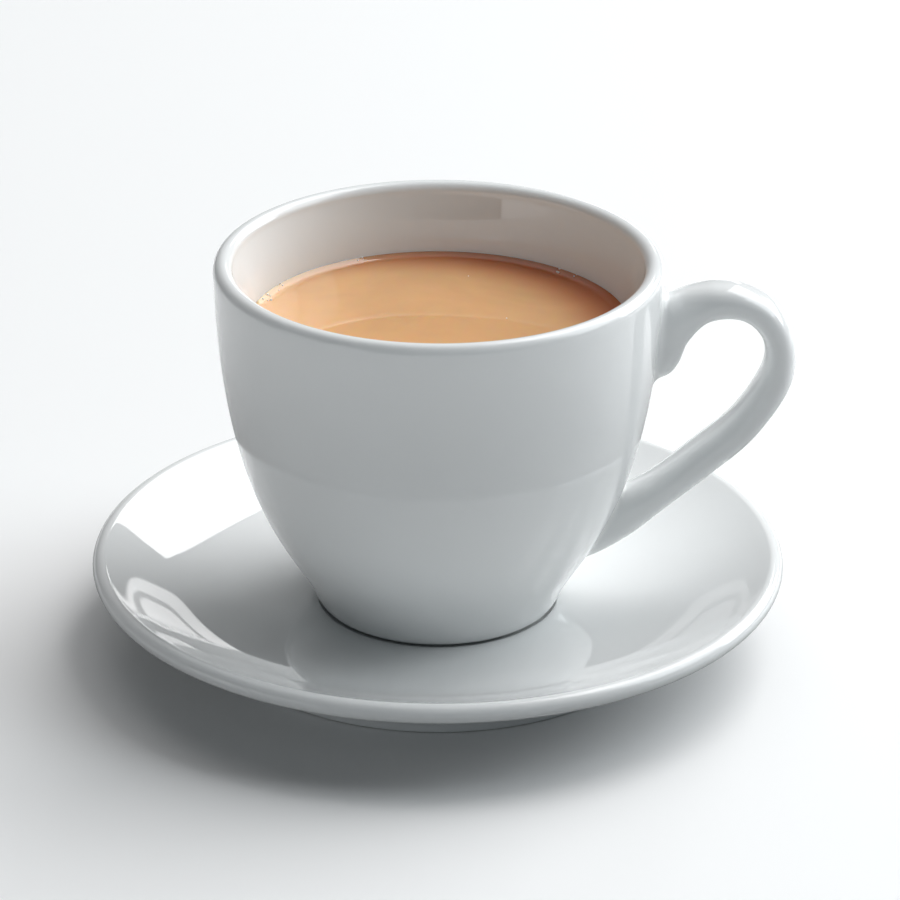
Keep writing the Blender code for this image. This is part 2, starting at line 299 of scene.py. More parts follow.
def cup_above_wall(size):
    lip = (size.rim_radius - size.lip_radius, size.top - size.lip_radius)
    return [
        *arc(lip, size.lip_radius, 0, 180, 29)[1:-1],
        *bare_inner_wall(16),
        *bowl(40)[1:],
    ]


def edge_rise(size, inwards):
    """Height of the drink's surface over its flat middle, at that distance from the wall."""
    return size.slope * size.rounding * math.log(1 + math.exp((size.edge_width - inwards) / size.rounding))


EDGE_ROWS = 47  # steps of the surface from the wall to where it is flat, closest at the wall


def drink_profile(size):
    """The bowl's shape, one gap smaller, and a surface whose edge climbs the wall a little."""
    below = [(radius - GAP, height + GAP) for radius, height in reversed(bowl(24)[1:-1])]
    wall = bare_inner_wall(200)  # fine enough to find where the edge ends on it
    flat = size.level - size.dip
    top = flat + edge_rise(size, 0)
    contact = next(radius for radius, height in reversed(wall) if height >= top)
    surface = []
    for i in range(EDGE_ROWS + 1):
        inwards = 2.5 * size.edge_width * (i / EDGE_ROWS) ** 1.5
        surface.append((contact - inwards, flat + edge_rise(size, inwards)))
    middle = [(surface[-1][0] * share, flat) for share in (0.8, 0.6, 0.4, 0.2)]
    side = (size.radius - GAP, flat - 1.0 * MM)
    floor = settings().cup.floor_top + GAP
    return [(0, floor), *below, side, *surface, *middle, (0, flat)]


# ---- node trees ----
class NodeWork:
    """A node tree that is built node by node."""

    def __init__(self, tree):
        self.tree = tree

    def node(self, kind, links=None, **values):
        """A node of that kind, its attributes set and its inputs linked or given a value."""
        made = self.tree.nodes.new(kind)
        for attribute, value in values.items():
            setattr(made, attribute, value)
        for key, source in (links or {}).items():
            self.feed(made.inputs[key], source)
        return made

    def feed(self, into, source):
        """Links a socket to an input, or sets a constant on it."""
        if isinstance(source, bpy.types.NodeSocket):
            self.tree.links.new(source, into)
        else:
            into.default_value = source

    def sum_up(self, operation, *terms):
        """One step of arithmetic on numbers or sockets."""
        return self.node("ShaderNodeMath", dict(enumerate(terms)), operation=operation).outputs[0]

    def measure(self, operation, *terms):
        """A number from places or directions, such as a length."""
        return self.node("ShaderNodeVectorMath", dict(enumerate(terms)), operation=operation).outputs["Value"]

    def ramp(self, value, low, high, at_low, at_high, course="SMOOTHSTEP", **values):
        """A number that goes from at_low to at_high while the value goes from low to high."""
        links = {"Value": value, "From Min": low, "From Max": high, "To Min": at_low, "To Max": at_high}
        return self.node("ShaderNodeMapRange", links, interpolation_type=course, **values).outputs["Result"]


class Shaping(NodeWork):
    """A Geometry Nodes tree with named inputs: a mesh, whole numbers, measures and a material."""

    def __init__(self, name, whole_numbers, measures=()):
        super().__init__(bpy.data.node_groups.new(name, "GeometryNodeTree"))
        self.sockets = {}
        kinds = {"Geometry": ["Geometry"], "Int": whole_numbers, "Float": measures, "Material": ["Material"]}
        for kind, names in kinds.items():
            for each in names:
                self.sockets[each] = self.socket(each, "INPUT", kind).identifier
        self.socket("Geometry", "OUTPUT", "Geometry")
        self.start = self.node("NodeGroupInput")

    def socket(self, name, side, kind):
        return self.tree.interface.new_socket(name, in_out=side, socket_type="NodeSocket" + kind)

    def given(self, name):
        return self.start.outputs[name]

    def end(self, geometry):
        """Real geometry with a material, as the group's output."""
        real = self.node("GeometryNodeRealizeInstances", {"Geometry": geometry})
        links = {"Geometry": real.outputs[0], "Material": self.given("Material")}
        dressed = self.node("GeometryNodeSetMaterial", links)
        self.node("NodeGroupOutput", {"Geometry": dressed.outputs[0]})

    def made_from(self, name, mesh, values):
        """Runs the tree on a mesh and returns the result as a plain object of that name."""
        carrier = in_scene(name + "_carrier", mesh)
        modifier = carrier.modifiers.new("nodes", "NODES")
        modifier.node_group = self.tree
        for socket, value in values.items():
            modifier[self.sockets[socket]] = value
        graph = bpy.context.evaluated_depsgraph_get()
        made = bpy.data.meshes.new_from_object(carrier.evaluated_get(graph))
        bpy.data.objects.remove(carrier)
        return finished(name, made)


def turning_tree():
    """Turns the points of a profile, in (radius, height), about the upright axis."""
    tree = Shaping("Turned on a wheel", ["Sides"])
    profile = tree.given("Geometry")
    rows = tree.node("GeometryNodeAttributeDomainSize", {"Geometry": profile}).outputs["Point Count"]
    columns = tree.sum_up("ADD", tree.given("Sides"), 1)
    sheet = tree.node("GeometryNodeMeshGrid", {"Vertices X": columns, "Vertices Y": rows})
    place = tree.node("GeometryNodeInputPosition").outputs[0]
    across = tree.node("ShaderNodeSeparateXYZ", {0: place})
    turn = tree.sum_up("MULTIPLY", tree.sum_up("ADD", across.outputs["X"], 0.5), math.tau)
    last_row = tree.sum_up("SUBTRACT", rows, 1)
    upwards = tree.sum_up("ADD", across.outputs["Y"], 0.5)
    row = tree.sum_up("ROUND", tree.sum_up("MULTIPLY", upwards, last_row))
    links = {"Geometry": profile, "Value": place, "Index": row}
    point = tree.node("GeometryNodeSampleIndex", links, data_type="FLOAT_VECTOR")
    links = {"Vector": point.outputs[0], "Angle": turn}
    turned = tree.node("ShaderNodeVectorRotate", links, rotation_type="Z_AXIS")
    links = {"Geometry": sheet.outputs["Mesh"], "Position": turned.outputs[0]}
    wrapped = tree.node("GeometryNodeSetPosition", links)
    links = {"Geometry": wrapped.outputs[0], "Distance": SEAM}
    closed = tree.node("GeometryNodeMergeByDistance", links)
    tree.end(closed.outputs[0])
    return tree


def turned_piece(name, profile, material):
    """A closed solid of revolution as a plain mesh, from its profile as a line of points."""
    line = bpy.data.meshes.new("profile")
    edges = [(i, i + 1) for i in range(len(profile) - 1)]
    line.from_pydata([(radius, 0, height) for radius, height in profile], edges, [])
    return turning_tree().made_from(name, line, {"Sides": SIDES, "Material": material})


def finished(name, mesh, material=None):
    """A piece of that name from a mesh: smooth, its faces pointing out, at the origin."""
    work = bmesh.new()
    work.from_mesh(mesh)
    bmesh.ops.recalc_face_normals(work, faces=work.faces)
    work.to_mesh(mesh)
    work.free()
    mesh.name = name
    mesh.shade_smooth()
    if material:
        mesh.materials.append(material)
    return in_scene(name, mesh)


# ---- the handle and its roots ----
class Wall:
    """The cup's outside as a surface that the handle can be fitted to."""

    def __init__(self):
        self.points = outer_wall(600)  # many, because the handle's lines are cut where they pass it

    def at(self, height):
        """Radius and slope (change of radius with height) at a height."""
        low, high = 0, len(self.points) - 1
        while high - low > 1:
            middle = (low + high) // 2
            if self.points[middle][1] < height:
                low = middle
            else:
                high = middle
        (r0, z0), (r1, z1) = self.points[low], self.points[high]
        slope = (r1 - r0) / (z1 - z0)
        return r0 + slope * (height - z0), slope

    def clearance(self, point):
        """How far a point stands outside the wall, along the radius."""
        return math.hypot(point.x, point.y) - self.at(point.z)[0]

    def normal(self, point):
        out = Vector((point.x, point.y, 0)).normalized()
        out.z = -self.at(point.z)[1]
        return out.normalized()

    def onto(self, point):
        """The point of the wall at a point's height and bearing."""
        flat = Vector((point.x, point.y, 0)).normalized() * self.at(point.z)[0]
        return Vector((flat.x, flat.y, point.z))


def through(points, position):
    """A point on the smooth (Catmull-Rom) curve through a list of points; position counts in points."""
    i = min(int(position), len(points) - 2)
    t = position - i
    p0, p1, p2, p3 = (points[max(0, min(len(points) - 1, k))] for k in (i - 1, i, i + 1, i + 2))
    return 0.5 * (
        2 * p1 + (p2 - p0) * t + (2 * p0 - 5 * p1 + 4 * p2 - p3) * t**2 + (3 * p1 - p0 - 3 * p2 + p3) * t**3
    )


def lengthwise_line(turn, samples):
    """One line of the handle's skin from root to root; turn is its angle round the section, 0 outside."""
    size = settings().cup
    power = 2 / size.handle_squareness
    out, side = (math.copysign(abs(part) ** power, part) for part in (math.cos(turn), math.sin(turn)))
    outer, inner = ([Vector((x * MM, 0, z * MM)) for x, z in ends] for ends in zip(*HANDLE_SECTIONS))
    line = []
    for i in range(samples + 1):
        position = (len(HANDLE_SECTIONS) - 1) * i / samples
        high, low = through(outer, position), through(inner, position)
        line.append((high + low) / 2 + (high - low) / 2 * out + ACROSS * (size.handle_width / 2 * side))
    return line


def cut_at_wall(line, wall):
    """The line from where it leaves the wall: that crossing first, then the samples beyond it."""
    outside = next(i for i, point in enumerate(line) if wall.clearance(point) > 0)
    before, after = line[outside - 1], line[outside]
    share = -wall.clearance(before) / (wall.clearance(after) - wall.clearance(before))
    return [before.lerp(after, share), *line[outside:]]


def trimmed(line, distance):
    """The line without its first stretch of that length."""
    left = distance
    for i, (here, there) in enumerate(zip(line, line[1:])):
        step = (there - here).length
        if step >= left:
            return [here.lerp(there, left / step), *line[i + 1 :]]
        left -= step
    raise ValueError("the line is shorter than the stretch to be taken off")


def fillet(on_wall, along_wall, on_handle, along_handle, count):
    """Points of the round between wall and handle, from the wall on. Both directions point out of it."""
    turn = math.pi - along_wall.angle(along_handle)
    pull = settings().cup.fillet_reach * 4 / 3 * math.tan(turn / 4) / math.tan(turn / 2)
    knots = (on_wall, on_wall - along_wall * pull, on_handle - along_handle * pull, on_handle)
    return interpolate_bezier(*knots, count)


def rooted(lines, wall, count):
    """Cuts the lines at the wall they start in. Returns a fillet for each and what is left of the lines."""
    reach = settings().cup.fillet_reach
    cut = [cut_at_wall(line, wall) for line in lines]
    middle = sum((line[0] for line in cut), Vector()) / len(cut)
    fillets, rest = [], []
    for i, line in enumerate(cut):
        crossing = line[0]
        round_root = cut[(i + 1) % len(cut)][0] - cut[i - 1][0]
        away = round_root.cross(wall.normal(crossing)).normalized()
        if away.dot(crossing - middle) < 0:
            away = -away
        on_wall = wall.onto(crossing + away * reach)
        normal = wall.normal(on_wall)
        along_wall = (away - normal * away.dot(normal)).normalized()
        left = trimmed(line, reach)
        along_handle = (left[1] - left[0]).normalized()
        fillets.append(fillet(on_wall, along_wall, left[0], along_handle, count))
        rest.append(left)
    return fillets, rest


def handle_lines(wall, around, rings, fillet_rings):
    """Every lengthwise line of the handle: its two fillets with evenly spaced points between them."""
    lines = [lengthwise_line(math.tau * i / around, LINE_SAMPLES) for i in range(around)]
    upper, rest = rooted(lines, wall, fillet_rings)
    lower, rest = rooted([line[::-1] for line in rest], wall, fillet_rings)
    made = []
    for start, line, end in zip(upper, rest, lower):
        between = []
        for ring in range(1, rings):
            position = (len(line) - 1) * (1 - ring / rings)
            i = min(int(position), len(line) - 2)
            between.append(line[i].lerp(line[i + 1], position - i))
        made.append([*start, *between, *reversed(end)])
    return made


def inside(point, loop):
    """Whether a flat point is inside a closed flat loop."""
    crossings = 0
    for a, b in zip(loop, loop[1:] + loop[:1]):
        if (a.y > point.y) != (b.y > point.y):
            crossings += point.x < a.x + (point.y - a.y) * (b.x - a.x) / (b.y - a.y)
    return crossings % 2 == 1


class CupSkin:
    """The cup's closed skin: a turned body with the handle growing out of its wall."""

    WALL_RINGS = 64
    ROUND_HANDLE = 56
    HANDLE_RINGS = 110
    FILLET_RINGS = 9
    PATCH_COLUMNS = 13  # columns of the wall on each side of the handle that are meshed around its roots
    ROOT_CLEARANCE = 0.6 * MM  # how near to a root the wall's own points may lie
    SAME_POINT = 1e-7  # points of the patch nearer than this are one

    def __init__(self, size):
        self.work = bmesh.new()
        self.rim_radius = size.rim_radius
        below, outside = cup_below_wall(size), outer_wall(self.WALL_RINGS)
        self.first = len(below) - 1
        self.last = self.first + len(outside) - 1
        rings = self.turned([*below, *outside, *cup_above_wall(size)])
        lines = handle_lines(Wall(), self.ROUND_HANDLE, self.HANDLE_RINGS, self.FILLET_RINGS)
        roots = self.handle(lines)
        self.fill_wall(rings[self.first : self.last + 1], roots)

    def near_handle(self, ring, column):
        columns = self.PATCH_COLUMNS
        return (column < columns or column >= SIDES - columns) and self.first <= ring < self.last

    def turned(self, profile):
        """The turned body, apart from the part of the wall near the handle. It returns its rings."""
        work = self.work
        low = work.verts.new((0, 0, profile[0][1]))
        high = work.verts.new((0, 0, profile[-1][1]))
        rings = []
        for radius, height in profile[1:-1]:
            rings.append([work.verts.new((radius * x, radius * y, height)) for x, y in circle(SIDES)])
        for column in range(SIDES):
            beside = (column + 1) % SIDES
            work.faces.new((low, rings[0][beside], rings[0][column]))
            work.faces.new((high, rings[-1][column], rings[-1][beside]))
            for ring in range(len(rings) - 1):
                if not self.near_handle(ring, column):
                    under, over = rings[ring], rings[ring + 1]
                    work.faces.new((under[column], under[beside], over[beside], over[column]))
        return rings

    def handle(self, lines):
        """The handle's skin. It returns the two loops in which it meets the wall."""
        verts = [[self.work.verts.new(point) for point in line] for line in lines]
        for i, line in enumerate(verts):
            beside = verts[(i + 1) % len(verts)]
            for k in range(len(line) - 1):
                self.work.faces.new((line[k], line[k + 1], beside[k + 1], beside[k]))
        return [line[0] for line in verts], [line[-1] for line in verts]

    def unrolled(self, vert):
        """A point of the wall on a flat sheet: distance round the cup and height."""
        return Vector((math.atan2(vert.co.y, vert.co.x) * self.rim_radius, vert.co.z))

    def fill_wall(self, rings, roots):
        """Fills the part of the wall that its turned rings leave open, around the handle's roots."""
        width = math.tau / SIDES * self.rim_radius
        columns = range(-self.PATCH_COLUMNS, self.PATCH_COLUMNS + 1)
        flat = {}
        for ring in rings:
            for column in columns:
                flat[ring[column % SIDES]] = Vector((column * width, ring[0].co.z))
        low, high = ([ring[column % SIDES] for column in columns] for ring in (rings[0], rings[-1]))
        left, right = ([ring[column % SIDES] for ring in rings] for column in (columns[0], columns[-1]))
        border = [*low, *right[1:-1], *reversed(high), *reversed(left[1:-1])]
        loops = [[self.unrolled(vert) for vert in root] for root in roots]
        loose = []
        for vert in set(flat) - set(border):
            near = min((flat[vert] - point).length for loop in loops for point in loop)
            if near > self.ROOT_CLEARANCE and not any(inside(flat[vert], loop) for loop in loops):
                loose.append(vert)
        loose.sort(key=lambda vert: tuple(flat[vert]))
        verts, places, edges = [], [], []
        for closed, closed_places in zip((border, *roots), ([flat[vert] for vert in border], *loops)):
            first, count = len(verts), len(closed)
            verts += closed
            places += closed_places
            edges += [(first + i, first + (i + 1) % count) for i in range(count)]
        verts += loose
        places += [flat[vert] for vert in loose]
        for triangle in delaunay_2d_cdt(places, edges, [], 0, self.SAME_POINT)[2]:
            centre = sum((places[i] for i in triangle), Vector((0, 0))) / 3
            if not any(inside(centre, loop) for loop in loops):
                self.work.faces.new([verts[i] for i in triangle])

    def mesh(self):
        """Ends the skin and returns it as a mesh."""
        unused = [vert for vert in self.work.verts if not vert.link_faces]
        bmesh.ops.delete(self.work, geom=unused, context="VERTS")
        mesh = bpy.data.meshes.new("cup_skin")
        self.work.to_mesh(mesh)
        self.work.free()
        return mesh


# ---- materials ----
# How fine the patterns are, in waves per metre.
GLAZE_POOLING, GLAZE_WAVES, CLAY_GRIT, CLAY_GRAIN, CLAY_EDGE = 38.0, 70.0, 2600.0, 1500.0, 300.0
MILK_CLOUDS, DRINK_WAVES, FILM_TINT, FLOOR_TINT = 30.0, 40.0, 900.0, 3.0
# Painted shade: the drink keeps its lighter colour round this place up to the first distance, and is painted
# the deeper, redder shade colour from the second distance on, towards its back and right.
UNSHADED_SPOT, PAINTED_SHADE_REACH = (-8 * MM, -6 * MM), (33 * MM, 48 * MM)


class Recipe(NodeWork):
    """A material's node tree around one Principled shader."""

    def __init__(self, name):
        self.material = bpy.data.materials.new(name)
        self.material.use_nodes = True
        super().__init__(self.material.node_tree)
        self.shader = self.tree.nodes["Principled BSDF"]
        self.place = self.node("ShaderNodeTexCoord").outputs["Object"]

    def noise(self, waves_per_metre, detail=2.0, swirl=0.0):
        links = {"Vector": self.place, "Scale": waves_per_metre, "Detail": detail, "Distortion": swirl}
        return self.node("ShaderNodeTexNoise", links).outputs["Fac"]

    def mix(self, share, first, second):
        links = {0: share, 6: first, 7: second}
        return self.node("ShaderNodeMix", links, data_type="RGBA").outputs[2]

    def shades(self, share, rgb, first, second):
        """A colour that goes from one shade of itself to another."""
        return self.mix(share, opaque(rgb, first), opaque(rgb, second))

    def bump(self, height, distance, strength=1.0, normal=None):
        links = {"Height": height, "Distance": distance, "Strength": strength}
        if normal:
            links["Normal"] = normal
        return self.node("ShaderNodeBump", links).outputs["Normal"]

    def finish(self, **sources):
        """Links or sets these inputs of the shader, and returns the material."""
        for name, source in sources.items():
            self.feed(self.shader.inputs[name.replace("_", " ")], source)
        return self.material


def opaque(rgb, share=1.0):
    return (rgb[0] * share, rgb[1] * share, rgb[2] * share, 1.0)


def glazed(name, stands_at):
    """White glaze over porcelain, with faint waves in it, and bare clay on the ring that it stands on."""
    looks = settings().looks
    recipe = Recipe(name)
    height = recipe.node("ShaderNodeSeparateXYZ", {0: recipe.place}).outputs["Z"]
    pooling = recipe.ramp(recipe.noise(GLAZE_POOLING), 0.35, 0.65, 0, 1)
    glaze = recipe.shades(pooling, looks.glaze, 1.0, 0.985)
    clay = recipe.shades(recipe.noise(CLAY_GRIT, 3.0), looks.bare_clay, 1.0, 0.86)
    uneven_height = recipe.sum_up("MULTIPLY_ADD", recipe.noise(CLAY_EDGE), 0.3 * MM, height)
    bare = recipe.ramp(uneven_height, stands_at + 0.25 * MM, stands_at + 0.4 * MM, 1, 0)
    waves = recipe.bump(recipe.noise(GLAZE_WAVES, 1.0), 0.012 * MM)
    grain = recipe.bump(recipe.noise(CLAY_GRAIN), 0.03 * MM, bare, waves)
    return recipe.finish(
        Base_Color=recipe.mix(bare, glaze, clay),
        Roughness=recipe.ramp(bare, 0, 1, 0.03, 0.75),
        Normal=grain,
        IOR=1.52,
        Subsurface_Weight=0.12,
        Subsurface_Radius=(1.0, 0.98, 0.96),
        Subsurface_Scale=1.2 * MM,
    )


def milky_coffee():
    """Light brown with slow clouds of milk in it, and painted shade: a deeper, redder brown towards the back
    and right of the drink.
    """
    looks, size = settings().looks, settings().drink
    recipe = Recipe("coffee with milk")
    clouds = recipe.ramp(recipe.noise(MILK_CLOUDS, 3.0, 1.2), 0.3, 0.7, 0, 1)
    body = recipe.shades(clouds, looks.coffee, 0.95, 1.05)
    # Painted shade: the share of the deeper shade colour grows with distance from a spot a little left of and
    # in front of the middle.
    from_unshaded_spot = recipe.measure("DISTANCE", recipe.place, (*UNSHADED_SPOT, size.level))
    painted_shade_share = recipe.ramp(from_unshaded_spot, *PAINTED_SHADE_REACH, 0, 1)
    return recipe.finish(
        Base_Color=recipe.mix(painted_shade_share, body, opaque(looks.painted_shade_coffee)),
        Roughness=0.03,
        Normal=recipe.bump(recipe.noise(DRINK_WAVES, 0.0), 0.2 * MM),
        IOR=1.55,
        Subsurface_Weight=0.6,
        Subsurface_Radius=(1.0, 0.35, 0.12),
        Subsurface_Scale=2.0 * MM,
    )


def bubble_film():
    """The thin milky film of a bubble, much lighter than the drink."""
    looks = settings().looks
    recipe = Recipe("bubble film")
    lighter = tuple(1 - 0.12 * (1 - channel) for channel in looks.coffee)
    tint = recipe.shades(recipe.noise(FILM_TINT), lighter, 1.0, 0.95)
    return recipe.finish(Base_Color=tint, Roughness=0.04, IOR=1.6)


def studio_floor():
    """A pale floor, which near the saucer throws back less light than it shows, for darker undersides."""
    looks = settings().looks
    recipe = Recipe("studio floor")
    shown = recipe.shades(recipe.noise(FLOOR_TINT), looks.floor, 1.0, 0.99)
    far = recipe.ramp(recipe.measure("LENGTH", recipe.place), *FLOOR_NEAR, 0, 1)
    thrown_back = recipe.shades(far, looks.floor, *FLOOR_BOUNCE)
    seen = recipe.node("ShaderNodeLightPath").outputs["Is Camera Ray"]
    return recipe.finish(Base_Color=recipe.mix(seen, thrown_back, shown), Roughness=0.6)


# ---- bubbles ----
# Clusters of bubbles: x and y, how many, and how far from there they lie, in millimetres.
BUBBLE_CLUSTERS = (
    (-35.0, 14.2, 9, 1.5),
    (-31.5, 19.6, 4, 1.9),
    (-17.0, 33.4, 3, 2.2),
    (24.6, 28.7, 3, 0.9),
    (28.2, 25.4, 2, 0.8),
    (6.1, 27.1, 1, 0.0),
    (13.6, 5.1, 1, 0.0),
    (-6.3, -24.4, 2, 1.6),
    (33.0, -18.1, 4, 1.6),
)


def bubble_tree():
    """Scatters small round bubbles around each point it is given, on the surface of the drink."""
    measures = ("Edge radius", "Level", "Slope", "Edge width", "Rounding", "Smallest", "Largest")
    tree = Shaping("Bubbles on the drink", ["Seed"], measures)

    def attribute(name, data_type):
        made = tree.node("GeometryNodeInputNamedAttribute", {"Name": name}, data_type=data_type)
        return made.outputs["Attribute"]

    def chance(low, high, offset):
        links = {2: low, 3: high, "Seed": tree.sum_up("ADD", tree.given("Seed"), offset)}
        return tree.node("FunctionNodeRandomValue", links, data_type="FLOAT").outputs[1]

    points = tree.node("GeometryNodeMeshToPoints", {"Mesh": tree.given("Geometry")}).outputs[0]
    links = {"Geometry": points, "Amount": attribute("number", "INT")}
    many = tree.node("GeometryNodeDuplicateElements", links, domain="POINT").outputs["Geometry"]
    here = tree.node("ShaderNodeSeparateXYZ", {0: tree.node("GeometryNodeInputPosition").outputs[0]})
    turn = chance(0.0, math.tau, 0)
    away = tree.sum_up("MULTIPLY", attribute("spread", "FLOAT"), tree.sum_up("SQRT", chance(0.0, 1.0, 1)))
    x = tree.sum_up("MULTIPLY_ADD", away, tree.sum_up("COSINE", turn), here.outputs["X"])
    y = tree.sum_up("MULTIPLY_ADD", away, tree.sum_up("SINE", turn), here.outputs["Y"])
    squares = tree.sum_up("MULTIPLY_ADD", x, x, tree.sum_up("MULTIPLY", y, y))
    radius = tree.sum_up("SQRT", squares)
    kept = tree.sum_up("MINIMUM", radius, tree.given("Edge radius"))
    inwards = tree.sum_up("SUBTRACT", tree.given("Edge radius"), kept)
    onto_edge = tree.sum_up("SUBTRACT", tree.given("Edge width"), inwards)
    swell = tree.sum_up("EXPONENT", tree.sum_up("DIVIDE", onto_edge, tree.given("Rounding")))
    softened = tree.sum_up("LOGARITHM", tree.sum_up("ADD", swell, 1.0), math.e)
    steepness = tree.sum_up("MULTIPLY", tree.given("Slope"), tree.given("Rounding"))
    rise = tree.sum_up("MULTIPLY", steepness, softened)
    share = tree.sum_up("DIVIDE", kept, radius)
    links = {
        "X": tree.sum_up("MULTIPLY", x, share),
        "Y": tree.sum_up("MULTIPLY", y, share),
        "Z": tree.sum_up("ADD", rise, tree.given("Level")),
    }
    spot = tree.node("ShaderNodeCombineXYZ", links).outputs[0]
    placed = tree.node("GeometryNodeSetPosition", {"Geometry": many, "Position": spot}).outputs[0]
    ball = tree.node("GeometryNodeMeshIcoSphere", {"Radius": 1.0, "Subdivisions": 3}).outputs["Mesh"]
    size = chance(tree.given("Smallest"), tree.given("Largest"), 2)
    links = {"Points": placed, "Instance": ball, "Scale": size}
    tree.end(tree.node("GeometryNodeInstanceOnPoints", links).outputs[0])
    return tree


def cluster_mesh():
    """The middle of each cluster as a point, with its number of bubbles and its spread as attributes."""
    mesh = bpy.data.meshes.new("clusters")
    mesh.from_pydata([(x * MM, y * MM, 0) for x, y, _, _ in BUBBLE_CLUSTERS], [], [])
    numbers = [number for _, _, number, _ in BUBBLE_CLUSTERS]
    spreads = [spread * MM for _, _, _, spread in BUBBLE_CLUSTERS]
    for name, kind, values in (("number", "INT", numbers), ("spread", "FLOAT", spreads)):
        mesh.attributes.new(name, kind, "POINT").data.foreach_set("value", values)
    return mesh


# ---- operators ----
class MakeSaucer(bpy.types.Operator):
    """Turns the dished saucer with its rolled rim and foot ring"""

    bl_idname = "coffee.saucer"
    bl_label = "Saucer"

    def execute(self, context):
        size = settings().saucer
        saucer = turned_piece("saucer_porcelain", saucer_profile(size), glazed("saucer glaze", 0.0))
        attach(saucer, "root")
        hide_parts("saucer")
        return {"FINISHED"}


class MakeCup(bpy.types.Operator):
    """Makes the cup's body and grows its handle out of the wall"""

    bl_idname = "coffee.cup"
    bl_label = "Cup with handle"

    def execute(self, context):
        size = settings().cup
        cup = finished("cup_porcelain", CupSkin(size).mesh(), glazed("cup glaze", size.stands_at))
        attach(cup, "root")
        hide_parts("cup")
        return {"FINISHED"}


class PourDrink(bpy.types.Operator):
    """Fills the cup up to its level, with an edge that climbs the wall"""

    bl_idname = "coffee.drink"
    bl_label = "Coffee with milk"

    def execute(self, context):
        size = settings().drink
        drink = turned_piece("drink", drink_profile(size), milky_coffee())
        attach(drink, "root")
        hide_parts("coffee")
        return {"FINISHED"}


class AddBubbles(bpy.types.Operator):
    """Puts a few tiny bubbles at the drink's edge"""

    bl_idname = "coffee.bubbles"
    bl_label = "Bubbles"

    def execute(self, context):
        size, bubble = settings().drink, settings().bubbles
        values = {
            "Seed": bubble.seed,
            "Edge radius": size.radius,
            "Level": size.level - size.dip,
            "Slope": size.slope,
            "Edge width": size.edge_width,
            "Rounding": size.rounding,
            "Smallest": bubble.smallest,
            "Largest": bubble.largest,
            "Material": bubble_film(),
        }
        bubbles = bubble_tree().made_from("bubbles", cluster_mesh(), values)
        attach(bubbles, "root")
        return {"FINISHED"}


class MakeStudio(bpy.types.Operator):
    """Lays a pale floor, hangs soft lights and sets up the camera"""

    bl_idname = "coffee.studio"
    bl_label = "Studio"

    def execute(self, context):
        lay_floor()
        set_up_lights()
        set_up_camera()
        return {"FINISHED"}


# ---- studio ----
LIGHT_DISTANCE, FLOOR_RADIUS, FLOOR_SIDES = 1.5, 1.25, 128
# Share of its paleness that the floor throws back near the saucer and far from it, and where that changes.
FLOOR_BOUNCE, FLOOR_NEAR = (0.3, 1.1), (85 * MM, 200 * MM)
NEUTRAL, CLEAR, COOL = (1.0, 1.0, 1.0), (0.94, 1.0, 1.03), (0.82, 1.0, 1.1)
AIR_LIGHT = (0.076, 0.08, 0.082)

CAMERA_RISE, CAMERA_DISTANCE, CAMERA_LENS = 26.8, 0.8736, 170.8  # degrees, metres, millimetres
CAMERA_AIM = Vector((0, 0, 5.1 * MM))  # the point it is that far from
CAMERA_DIP, CAMERA_YAW, CAMERA_ROLL = 2.06, 0.1754, 0.233  # degrees that it is turned off that point

# Upright panels: name, bearing of the middle (0 is +X, 90 is +Y), half width, lower and upper edge as
# elevations at the middle, in degrees; brightness and tint.
PANELS = (
    ("key", 45, 30, 28.9, 70, 4.55, NEUTRAL),
    ("side", -2, 14, 24, 60, 3.6, CLEAR),
    ("skirt", 35, 22, 11, 26, 5.8, CLEAR),
    ("left_low", 211, 23, 0.5, 10, 1.6, NEUTRAL),
)

# Soft glows in the air around: name, bearing and elevation of the middle, angles from there at which a
# glow begins to fade and has gone, in degrees; brightness and tint.
GLOWS = (
    ("back_high", 88, 62, 12, 42, 0.95, NEUTRAL),
    ("front_low", 270, 0, 10, 60, 0.22, COOL),
)

# Leaf-shaped lights low behind the cup, each with a dark rib in it: name, bearing and elevation of the
# leaf and of its rib, half width and half height of the leaf and of the rib, lean, in degrees; brightness.
LEAVES = (
    ("leaf_left", (81.6, 6.5), (82.6, 3.0), (2.7, 11.0), (1.5, 8.4), 26, 2.2),
    ("leaf_right", (98.4, 6.5), (97.4, 3.0), (2.7, 11.0), (1.5, 8.4), -26, 0.45),
)
LEAF_SQUARENESS = 4.0  # exponent of the outline
LEAF_FADES_FROM = 0.93  # share of the way from the middle to the outline
RIB_CORE, RIB_REACH = 0.08, 0.16  # half widths of the rib, and of the rib with its fading
RIB_LIGHT = 0.35  # share of the light left in the rib
WELL_OUTSIDE = 9.0  # added behind, where the outline would show a second time


def lay_floor():
    """A round floor that ends inside the ring of lights, so that all of it is lit."""
    mesh = bpy.data.meshes.new("studio_floor")
    edge = [(FLOOR_RADIUS * x, FLOOR_RADIUS * y, 0) for x, y in circle(FLOOR_SIDES)]
    mesh.from_pydata(edge, [], [tuple(range(FLOOR_SIDES))])
    mesh.materials.append(studio_floor())
    floor = in_scene("studio_floor", mesh)


def towards(bearing, elevation):
    """A direction, from its two angles in degrees."""
    turn, rise = math.radians(bearing), math.radians(elevation)
    return Vector((math.cos(turn) * math.cos(rise), math.sin(turn) * math.cos(rise), math.sin(rise)))


def panel_light(name, bearing, half_width, low, high, brightness, tint):
    """An upright rectangular light that faces the cup."""
    out = towards(bearing, 0)
    bottom, top, side = (LIGHT_DISTANCE * math.tan(math.radians(angle)) for angle in (low, high, half_width))
    data = bpy.data.lights.new(name, "AREA")
    data.shape = "RECTANGLE"
    data.size, data.size_y = 2 * side, top - bottom
    data.energy = math.pi * data.size * data.size_y * brightness
    data.color = tint
    light = in_scene(name, data)
    place = Matrix.Translation(out * LIGHT_DISTANCE + Vector((0, 0, (top + bottom) / 2)))
    light.matrix_world = place @ out.to_track_quat("Z", "Y").to_matrix().to_4x4()
    light.visible_camera = False


